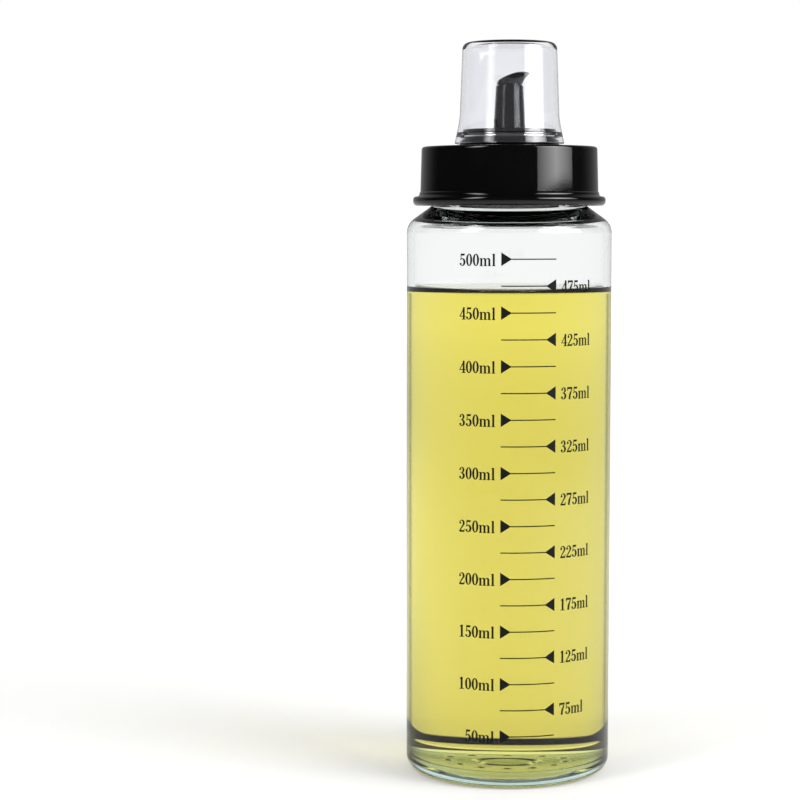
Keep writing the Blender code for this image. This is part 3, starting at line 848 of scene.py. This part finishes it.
def mark_strokes(volume):
    """The line, pointer and number of one mark."""
    height = MARK_500_HEIGHT - (MOST_ML - volume) * HEIGHT_PER_ML
    base = height - DIGIT_HEIGHT / 2 - TEXT_DROP
    low, high = height - LINE_THICKNESS / 2, height + LINE_THICKNESS / 2
    left = LEFT_POINTER_STARTS * body_radius
    right = RIGHT_POINTER_ENDS * body_radius
    text = str(volume) + "ml"
    if volume % ML_PER_LEFT_MARK == 0:
        flat, tip = left, left + POINTER_LENGTH
        line = box_of(tip - LINE_THICKNESS, low, right, high)
        start = LEFT_TEXT_ENDS * body_radius - text_width(text)
    else:
        flat, tip = right, right - POINTER_LENGTH
        line = box_of(left, low, tip + LINE_THICKNESS, high)
        start = RIGHT_TEXT_STARTS * body_radius
    half = POINTER_HEIGHT / 2
    pointer = [(flat, height - half), (tip, height), (flat, height + half)]
    return [line, pointer] + text_strokes(text, start, base)


def joined_strokes(strokes):
    """Points and triangles of the area that strokes cover, cut into strips that can bend."""
    points, faces, cuts = [], [], []
    for stroke in strokes:
        area = sum(a[0] * b[1] - b[0] * a[1] for a, b in zip(stroke, stroke[1:] + stroke[:1]))
        corners = stroke if area > 0 else stroke[::-1]
        faces.append(list(range(len(points), len(points) + len(corners))))
        points += [Vector(corner) for corner in corners]
    left, right = min(point.x for point in points), max(point.x for point in points)
    low = min(point.y for point in points) - INK_STRIP
    high = max(point.y for point in points) + INK_STRIP
    for strip in range(1, ceil((right - left) / INK_STRIP)):
        along = left + strip * INK_STRIP
        cuts.append((len(points), len(points) + 1))
        points += [Vector((along, low)), Vector((along, high))]
    joined, _, triangles, _, _, sources = geometry.delaunay_2d_cdt(
        points, cuts, faces, 0, CLOSE_POINTS, True)
    return joined, [triangle for triangle, source in zip(triangles, sources) if source]


def on_glass(point, lift):
    """A flat point laid round the bottle, lifted off the glass."""
    turn = point.x / body_radius
    return (body_radius + lift) * sin(turn), -(body_radius + lift) * cos(turn), point.y


def add_print(material):
    shape = bmesh.new()
    for volume in range(MOST_ML, LEAST_ML - 1, -ML_STEP):
        points, triangles = joined_strokes(mark_strokes(volume))
        under, over = (
            [shape.verts.new(on_glass(point, lift)) for point in points]
            for lift in (INK_LIFT, INK_LIFT + INK_THICKNESS))
        edges = {}
        for triangle in triangles:
            shape.faces.new([over[corner] for corner in triangle])
            shape.faces.new([under[corner] for corner in reversed(triangle)])
            for edge in zip(triangle, triangle[1:] + triangle[:1]):
                edges[edge] = True
        for one, other in edges:
            if (other, one) not in edges:
                shape.faces.new((under[one], under[other], over[other], over[one]))
    loose = [vert for vert in shape.verts if not vert.link_faces]
    bmesh.ops.delete(shape, geom=loose, context="VERTS")
    bmesh.ops.recalc_face_normals(shape, faces=shape.faces)
    add_piece("volume_scale", mesh_from_shape("scale_print", shape), material, "bottle", None)


# Materials

WHITE = (1, 1, 1, 1)
BLACK = (0, 0, 0, 1)

# Light Path counts whole bounces: these lie just before the first and the second
FIRST_BOUNCE = 0.5
SECOND_BOUNCE = 1.5

# Where most of a noise pattern lies, and how finely clouds are broken up
NOISE_LOW = 0.3
NOISE_HIGH = 0.7
CLOUD_DETAIL = 4.0

# How far edge on a clear surface starts to take painted shade
EDGE_SHADE_STARTS = 0.90

# Glass
GLASS_BENDING = 1.5
# Painted shade: colour of the glass where it is seen edge on
GLASS_EDGE_SHADE = (0.30, 0.36, 0.33, 1)
GLASS_ABSORPTION = (0.10, 0.50, 0.40, 1)
GLASS_DENSITY = 10.0
GLASS_WAVES = 90.0
GLASS_WAVE_DETAIL = 1.0
GLASS_WAVE_STRETCH = (1, 1, 0.35)
GLASS_WAVE_DEPTH = 0.02 * MM

# Painted shade: a dark line in the glass along the side edges of the oil
SIDE_LINE_STARTS = 0.66
SIDE_LINE_FULL = 0.73
SIDE_LINE_FADES = 0.74
SIDE_LINE_ENDS = 0.86
SIDE_LINE_SHADE = (0.16, 0.20, 0.12, 1)

# Painted shade: a dark band round the heel. Light that has crossed more surfaces than this has met
# the oil.
HEEL_SHADE_LOW = 3.6 * MM
HEEL_SHADE_HIGH = 6.8 * MM
HEEL_SHADE_SOFTNESS = 0.5 * MM
HEEL_SHADE_SIDE_RISE = 4.0 * MM
HEEL_SHADE_RISE_STARTS = 0.16
HEEL_SHADE_RISE_ENDS = 0.26
MOST_CROSSINGS_BELOW_OIL = 4.5

# Oil
OIL_BENDING = 1.47
NO_BENDING = 1.0005
OIL_TINT = (0.985, 0.985, 0.96, 1)
OIL_CLOUDS = 40.0
OIL_ABSORPTION = (0.962, 0.909, 0.20, 1)
OIL_DENSITY = 42.0

# Black plastic
BLACK_BENDING = 1.5
BLACK_DARK = (0.0015, 0.0015, 0.0018, 1)
BLACK_PALE = (0.003, 0.003, 0.0034, 1)
BLACK_SMOOTHEST = 0.02
BLACK_ROUGHEST = 0.045
BLACK_CLOUDS = 120.0
BLACK_GRAIN = 2500.0
BLACK_GRAIN_DEPTH = 0.003 * MM

# Clear plastic
PLASTIC_BENDING = 1.49
PLASTIC_TINT = (0.925, 0.93, 0.955, 1)
# Painted shade: colour of the clear plastic where it is seen edge on
PLASTIC_EDGE_SHADE = (0.55, 0.55, 0.62, 1)
PLASTIC_WAVES = 220.0
PLASTIC_WAVE_DEPTH = 0.01 * MM

# Silicone
SILICONE_DARK = (0.78, 0.79, 0.78, 1)
SILICONE_PALE = (0.84, 0.85, 0.84, 1)
SILICONE_SMOOTHEST = 0.45
SILICONE_ROUGHEST = 0.6
SILICONE_CLOUDS = 300.0
SILICONE_GRAIN = 4000.0
SILICONE_GRAIN_DEPTH = 0.01 * MM

# Ink of the scale
INK_DARK = (0.004, 0.005, 0.005, 1)
INK_PALE = (0.009, 0.010, 0.011, 1)
INK_SMOOTHEST = 0.5
INK_ROUGHEST = 0.7
INK_GLOSS = 0.12
INK_CLOUDS = 1800.0
INK_CLOUD_DETAIL = 3.0
INK_RELIEF = 0.01 * MM


class Nodes:
    """Makes the nodes and links of a material, a lamp or the world."""

    def __init__(self, owner):
        self.owner = owner
        owner.use_nodes = True
        self.tree = owner.node_tree

    def add(self, kind, links=None, **settings):
        """Adds a node. Links give a socket, by name or number, its source or its value."""
        node = self.tree.nodes.new(kind)
        for key, value in settings.items():
            setattr(node, key, value)
        self.set(node, links or {})
        return node

    def set(self, node, links):
        for key, value in links.items():
            if isinstance(value, bpy.types.NodeSocket):
                self.tree.links.new(value, node.inputs[key])
            else:
                node.inputs[key].default_value = value

    def math(self, operation, one, other=0.0):
        return self.add("ShaderNodeMath", {0: one, 1: other}, operation=operation).outputs[0]

    def product(self, first, *others):
        for other in others:
            first = self.math("MULTIPLY", first, other)
        return first

    def choose(self, share, one, other):
        """A number between two others. Sockets 2 and 3 of a Mix node are its numbers."""
        return self.add("ShaderNodeMix", {0: share, 2: one, 3: other}).outputs[0]

    def mix(self, share, one, other):
        """A colour between two others. Sockets 6 and 7 of a Mix node are its colours."""
        node = self.add("ShaderNodeMix", {0: share}, data_type="RGBA")
        self.set(node, {6: one, 7: other})
        return node.outputs[2]

    def spread(self, source, low, high, start=0.0, end=1.0, kind="LINEAR"):
        """A number that goes from low to high as the source goes from start to end."""
        return self.add("ShaderNodeMapRange", {
            "Value": source, "From Min": start, "From Max": end, "To Min": low, "To Max": high},
            interpolation_type=kind).outputs[0]

    def place(self, kind="Object"):
        return self.add("ShaderNodeTexCoord").outputs[kind]

    def length(self, vector):
        return self.add("ShaderNodeVectorMath", {0: vector}, operation="LENGTH").outputs["Value"]

    def radius_and_height(self):
        """Distance from the bottle's axis, and height."""
        place = self.place()
        out = self.add("ShaderNodeVectorMath", {0: place, 1: (1, 1, 0)}, operation="MULTIPLY")
        height = self.add("ShaderNodeSeparateXYZ", {0: place}).outputs["Z"]
        return self.length(out.outputs[0]), height

    def noise(self, scale, detail=2.0, stretch=(1, 1, 1)):
        """Noise in the object's own coordinates, scale in cells per metre."""
        place = self.add("ShaderNodeMapping", {"Vector": self.place(), "Scale": stretch})
        return self.add(
            "ShaderNodeTexNoise",
            {"Vector": place.outputs[0], "Scale": scale, "Detail": detail}).outputs["Fac"]

    def facing(self, start, end=1.0):
        """From 0 to 1 as the surface goes from start to end, where 0 is face on and 1 edge on."""
        layer = self.add("ShaderNodeLayerWeight")
        return self.spread(layer.outputs["Facing"], 0.0, 1.0, start, end)

    def bump(self, height, distance):
        return self.add("ShaderNodeBump", {"Height": height, "Distance": distance}).outputs[0]


def new_look(name):
    nodes = Nodes(bpy.data.materials.new(name))
    nodes.shader = nodes.tree.nodes["Principled BSDF"]
    nodes.output = nodes.tree.nodes["Material Output"]
    return nodes


def absorb(nodes, colour, density):
    """Colours the light by the length of its way through a clear solid."""
    volume = nodes.add("ShaderNodeVolumeAbsorption", {"Color": colour, "Density": density})
    nodes.set(nodes.output, {"Volume": volume.outputs[0]})


def heel_band(nodes, up):
    """Mask of painted shade: 1 in the band of the heel where light from the oil leaves the glass,
    and 0 elsewhere.

    The band reaches further up and down where the glass is seen aslant, as at the sides.
    """
    path = nodes.add("ShaderNodeLightPath").outputs
    slant = nodes.facing(HEEL_SHADE_RISE_STARTS, HEEL_SHADE_RISE_ENDS)
    reach = nodes.product(slant, slant, HEEL_SHADE_SIDE_RISE)
    return nodes.product(
        nodes.spread(
            nodes.math("SUBTRACT", up, reach), 1.0, 0.0,
            HEEL_SHADE_HIGH - HEEL_SHADE_SOFTNESS, HEEL_SHADE_HIGH),
        nodes.spread(
            nodes.math("ADD", up, reach), 0.0, 1.0,
            HEEL_SHADE_LOW - HEEL_SHADE_SOFTNESS, HEEL_SHADE_LOW),
        nodes.add("ShaderNodeNewGeometry").outputs["Backfacing"],
        nodes.math("LESS_THAN", path["Glossy Depth"], FIRST_BOUNCE),
        nodes.math("GREATER_THAN", path["Transmission Depth"], MOST_CROSSINGS_BELOW_OIL))


def glass_material():
    """Clear glass. Where it touches the oil, which is nearly as dense, it hardly bends light.

    Shade is painted into its colour where it is seen edge on, along the oil's side edges and in a
    band at the heel.
    """
    nodes = new_look("clear_glass_look")
    out, up = nodes.radius_and_height()
    wet = nodes.product(
        nodes.math("LESS_THAN", out, body_bore + OIL_IN_GLASS / 2),
        nodes.math("GREATER_THAN", up, (PANEL_HEIGHT + PANEL_RISE + FLOOR_THICKNESS) / 2),
        nodes.math("LESS_THAN", up, oil_top))
    # Painted shade: a dark line along the oil's side edges
    side_shade_mask = nodes.product(
        nodes.facing(SIDE_LINE_STARTS, SIDE_LINE_FULL),
        nodes.math("SUBTRACT", 1.0, nodes.facing(SIDE_LINE_FADES, SIDE_LINE_ENDS)),
        nodes.math("LESS_THAN", up, oil_level))
    # Painted shade: darker where the glass is seen edge on
    painted_shade_colour = nodes.mix(nodes.facing(EDGE_SHADE_STARTS), WHITE, GLASS_EDGE_SHADE)
    painted_shade_colour = nodes.mix(side_shade_mask, painted_shade_colour, SIDE_LINE_SHADE)
    waves = nodes.noise(GLASS_WAVES, GLASS_WAVE_DETAIL, GLASS_WAVE_STRETCH)
    nodes.set(nodes.shader, {
        # Painted shade: the heel band turns the glass's colour black
        "Base Color": nodes.mix(heel_band(nodes, up), painted_shade_colour, BLACK),
        "Roughness": 0.0,
        "IOR": nodes.choose(wet, GLASS_BENDING, GLASS_BENDING / OIL_BENDING),
        "Transmission Weight": 1.0,
        "Normal": nodes.bump(waves, GLASS_WAVE_DEPTH)})
    absorb(nodes, GLASS_ABSORPTION, GLASS_DENSITY)
    return nodes.owner


def oil_material():
    """Oil. Its free surface bends light. Elsewhere it touches the glass, which bends the light."""
    nodes = new_look("golden_oil_look")
    out, up = nodes.radius_and_height()
    free = nodes.product(
        nodes.math("GREATER_THAN", up, oil_level - MENISCUS_HEIGHT),
        nodes.math("LESS_THAN", out, body_bore + OIL_IN_GLASS / 2))
    nodes.set(nodes.shader, {
        "Base Color": nodes.mix(nodes.noise(OIL_CLOUDS), WHITE, OIL_TINT),
        "Roughness": 0.0,
        "IOR": nodes.choose(free, NO_BENDING, OIL_BENDING),
        "Transmission Weight": 1.0})
    absorb(nodes, OIL_ABSORPTION, OIL_DENSITY)
    return nodes.owner


def black_material():
    nodes = new_look("black_plastic_look")
    cloud = nodes.noise(BLACK_CLOUDS, CLOUD_DETAIL)
    nodes.set(nodes.shader, {
        "Base Color": nodes.mix(cloud, BLACK_DARK, BLACK_PALE),
        "Roughness": nodes.spread(
            cloud, BLACK_SMOOTHEST, BLACK_ROUGHEST, NOISE_LOW, NOISE_HIGH),
        "IOR": BLACK_BENDING,
        "Normal": nodes.bump(nodes.noise(BLACK_GRAIN), BLACK_GRAIN_DEPTH)})
    return nodes.owner


def clear_plastic_material():
    nodes = new_look("clear_plastic_look")
    # Painted shade: darker where the plastic is seen edge on
    edge = nodes.facing(EDGE_SHADE_STARTS)
    nodes.set(nodes.shader, {
        "Base Color": nodes.mix(edge, PLASTIC_TINT, PLASTIC_EDGE_SHADE),
        "Roughness": 0.0,
        "IOR": PLASTIC_BENDING,
        "Transmission Weight": 1.0,
        "Normal": nodes.bump(nodes.noise(PLASTIC_WAVES), PLASTIC_WAVE_DEPTH)})
    return nodes.owner


def silicone_material():
    nodes = new_look("silicone_look")
    cloud = nodes.noise(SILICONE_CLOUDS, CLOUD_DETAIL)
    nodes.set(nodes.shader, {
        "Base Color": nodes.mix(cloud, SILICONE_DARK, SILICONE_PALE),
        "Roughness": nodes.spread(cloud, SILICONE_SMOOTHEST, SILICONE_ROUGHEST),
        "Normal": nodes.bump(nodes.noise(SILICONE_GRAIN), SILICONE_GRAIN_DEPTH)})
    return nodes.owner


def ink_material():
    nodes = new_look("scale_ink_look")
    cloud = nodes.noise(INK_CLOUDS, INK_CLOUD_DETAIL)
    nodes.set(nodes.shader, {
        "Base Color": nodes.mix(cloud, INK_DARK, INK_PALE),
        "Roughness": nodes.spread(cloud, INK_SMOOTHEST, INK_ROUGHEST),
        "Specular IOR Level": INK_GLOSS,
        "Normal": nodes.bump(cloud, INK_RELIEF)})
    return nodes.owner


# Studio: a pale floor, a white background and two soft boxes

FLOOR_RADIUS = 60.0
FLOOR_SIDES = 64
FLOOR_DROP = 0.05 * MM
FLOOR_DARK = (0.71, 0.71, 0.71, 1)
FLOOR_PALE = (0.73, 0.73, 0.73, 1)
FLOOR_CLOUDS = 30.0
FLOOR_ROUGHNESS = 0.8
FLOOR_GLOSS = 0.2

# Glow that the floor shows to the camera and to clear and glossy surfaces, more of it far off
FLOOR_LIFT_SCALE = 0.55
FLOOR_LIFT_POWER = 1 / 3
FLOOR_LIFT_DROP = 0.18
FLOOR_LIFT_MOST = 0.61
FLOOR_LIFT_SEEN = 0.22
GLOSS_SHARE = 0.25

# Room: angles are from straight behind the bottle, and the ceiling's are above the horizon
ROOM_LIGHT = 0.55
THROUGH_LIGHT = 1.03
GLOSS_BACK = 0.30
GLOSS_FRONT = 0.02
GLOSS_BACK_ANGLE = radians(18)
GLOSS_FRONT_ANGLE = radians(76)
INNER_BACK = 1.1
INNER_FRONT = 0.45
INNER_AGAIN = 0.25
INNER_BACK_ANGLE = radians(34)
INNER_FRONT_ANGLE = radians(64)
CEILING_LIGHT = 0.12
CEILING_STARTS = radians(35)
CEILING_ENDS = radians(65)
LEAST_DIVISOR = 0.001

# Soft boxes: an azimuth of 0 is the camera's side
RIGHT_BOX = dict(
    azimuth=radians(62), distance=0.9, half_angle=radians(26), low=0.244, high=0.93,
    radiance=14.0, low_share=0.51, side_share=0.25)
LEFT_BOX = dict(
    azimuth=radians(-46), distance=0.8, half_angle=radians(14), low=0.278, high=1.2,
    radiance=16.0, low_share=0.14, side_share=0.0)


def add_floor():
    nodes = new_look("floor_look")
    path = nodes.add("ShaderNodeLightPath").outputs
    seen = nodes.math("MAXIMUM", path["Is Camera Ray"], path["Is Transmission Ray"])
    seen = nodes.math("MAXIMUM", seen, nodes.product(path["Is Glossy Ray"], GLOSS_SHARE))
    rise = nodes.math("POWER", nodes.length(nodes.place()), FLOOR_LIFT_POWER)
    rise = nodes.math("SUBTRACT", nodes.product(rise, FLOOR_LIFT_SCALE), FLOOR_LIFT_DROP)
    lift = nodes.math("MINIMUM", nodes.math("MAXIMUM", rise, 0.0), FLOOR_LIFT_MOST)
    lift = nodes.math("ADD", lift, nodes.product(path["Is Camera Ray"], FLOOR_LIFT_SEEN))
    cloud = nodes.noise(FLOOR_CLOUDS, CLOUD_DETAIL)
    nodes.set(nodes.shader, {
        "Base Color": nodes.mix(cloud, FLOOR_DARK, FLOOR_PALE),
        "Roughness": FLOOR_ROUGHNESS,
        "Specular IOR Level": FLOOR_GLOSS,
        "Emission Color": WHITE,
        "Emission Strength": nodes.product(seen, lift)})
    shape = bmesh.new()
    bmesh.ops.create_circle(shape, cap_ends=True, segments=FLOOR_SIDES, radius=FLOOR_RADIUS)
    mesh = mesh_from_shape("floor", shape)
    mesh.materials.append(nodes.owner)
    floor = add_object("floor", mesh)
    floor.location.z = -FLOOR_DROP


def set_world():
    """White to the camera, straight or through glass. Gloss sees a pale back and a dark front."""
    world = bpy.data.worlds.new("studio")
    bpy.context.scene.world = world
    nodes = Nodes(world)
    _, y, z = nodes.add("ShaderNodeSeparateXYZ", {0: nodes.place("Generated")}).outputs
    across = nodes.math("SQRT", nodes.math("SUBTRACT", 1.0, nodes.product(z, z)))
    backward = nodes.math("DIVIDE", y, nodes.math("MAXIMUM", across, LEAST_DIVISOR))
    outer = nodes.spread(
        backward, GLOSS_FRONT, GLOSS_BACK,
        cos(GLOSS_FRONT_ANGLE), cos(GLOSS_BACK_ANGLE), "SMOOTHSTEP")
    inner = nodes.spread(
        backward, INNER_FRONT, INNER_BACK,
        cos(INNER_FRONT_ANGLE), cos(INNER_BACK_ANGLE), "SMOOTHSTEP")
    ceiling = nodes.spread(
        z, 1.0, CEILING_LIGHT, sin(CEILING_STARTS), sin(CEILING_ENDS), "SMOOTHSTEP")
    path = nodes.add("ShaderNodeLightPath").outputs
    bounces = path["Glossy Depth"]
    through = path["Is Transmission Ray"]
    clear = nodes.math("LESS_THAN", path["Diffuse Depth"], FIRST_BOUNCE)
    glossed = nodes.product(nodes.math("GREATER_THAN", bounces, FIRST_BOUNCE), clear)
    again = nodes.math("GREATER_THAN", bounces, SECOND_BOUNCE)
    inner = nodes.product(inner, nodes.choose(again, 1.0, INNER_AGAIN))
    backdrop = nodes.product(nodes.choose(through, outer, inner), ceiling)
    light = nodes.choose(
        nodes.product(through, clear), ROOM_LIGHT, nodes.product(ceiling, THROUGH_LIGHT))
    light = nodes.choose(glossed, light, backdrop)
    light = nodes.choose(path["Is Camera Ray"], light, 1.0)
    nodes.set(nodes.tree.nodes["Background"], {"Color": WHITE, "Strength": light})


def add_soft_box(
        name, azimuth, distance, half_angle, low, high, radiance, low_share, side_share):
    """An upright lamp that faces the axis. It is brightest at its top, on its middle line.

    The shares are of that brightness, at its foot and at its sides.
    """
    data = bpy.data.lights.new(name, "AREA")
    data.shape = "RECTANGLE"
    data.size = 2 * distance * tan(half_angle)
    data.size_y = high - low
    data.energy = radiance * pi * data.size * data.size_y
    nodes = Nodes(data)
    spot = nodes.add("ShaderNodeNewGeometry").outputs["Parametric"]
    u, v, _ = nodes.add("ShaderNodeSeparateXYZ", {0: spot}).outputs
    off = nodes.math("ABSOLUTE", nodes.math("SUBTRACT", u, 0.5))
    level = nodes.product(
        nodes.spread(off, 1.0, side_share, 0.0, 0.5), nodes.spread(v, low_share, 1.0))
    nodes.set(nodes.tree.nodes["Emission"], {"Strength": level})
    lamp = add_object(name, data)
    lamp.location = (distance * sin(azimuth), -distance * cos(azimuth), (low + high) / 2)
    lamp.rotation_euler = (pi / 2, 0, azimuth)
    lamp.visible_camera = False


def main():
    add_camera()
    glass = glass_material()
    black = black_material()
    add_glass_bottle(glass)
    add_oil(oil_material())
    add_print(ink_material())
    add_gasket(silicone_material())
    add_pourer_insert(black)
    add_screw_cap(black)
    add_dust_cap(clear_plastic_material())
    add_floor()
    set_world()
    add_soft_box("soft_box_right", **RIGHT_BOX)
    add_soft_box("soft_box_left", **LEFT_BOX)
    bpy.context.scene.view_settings.view_transform = "Standard"


main()
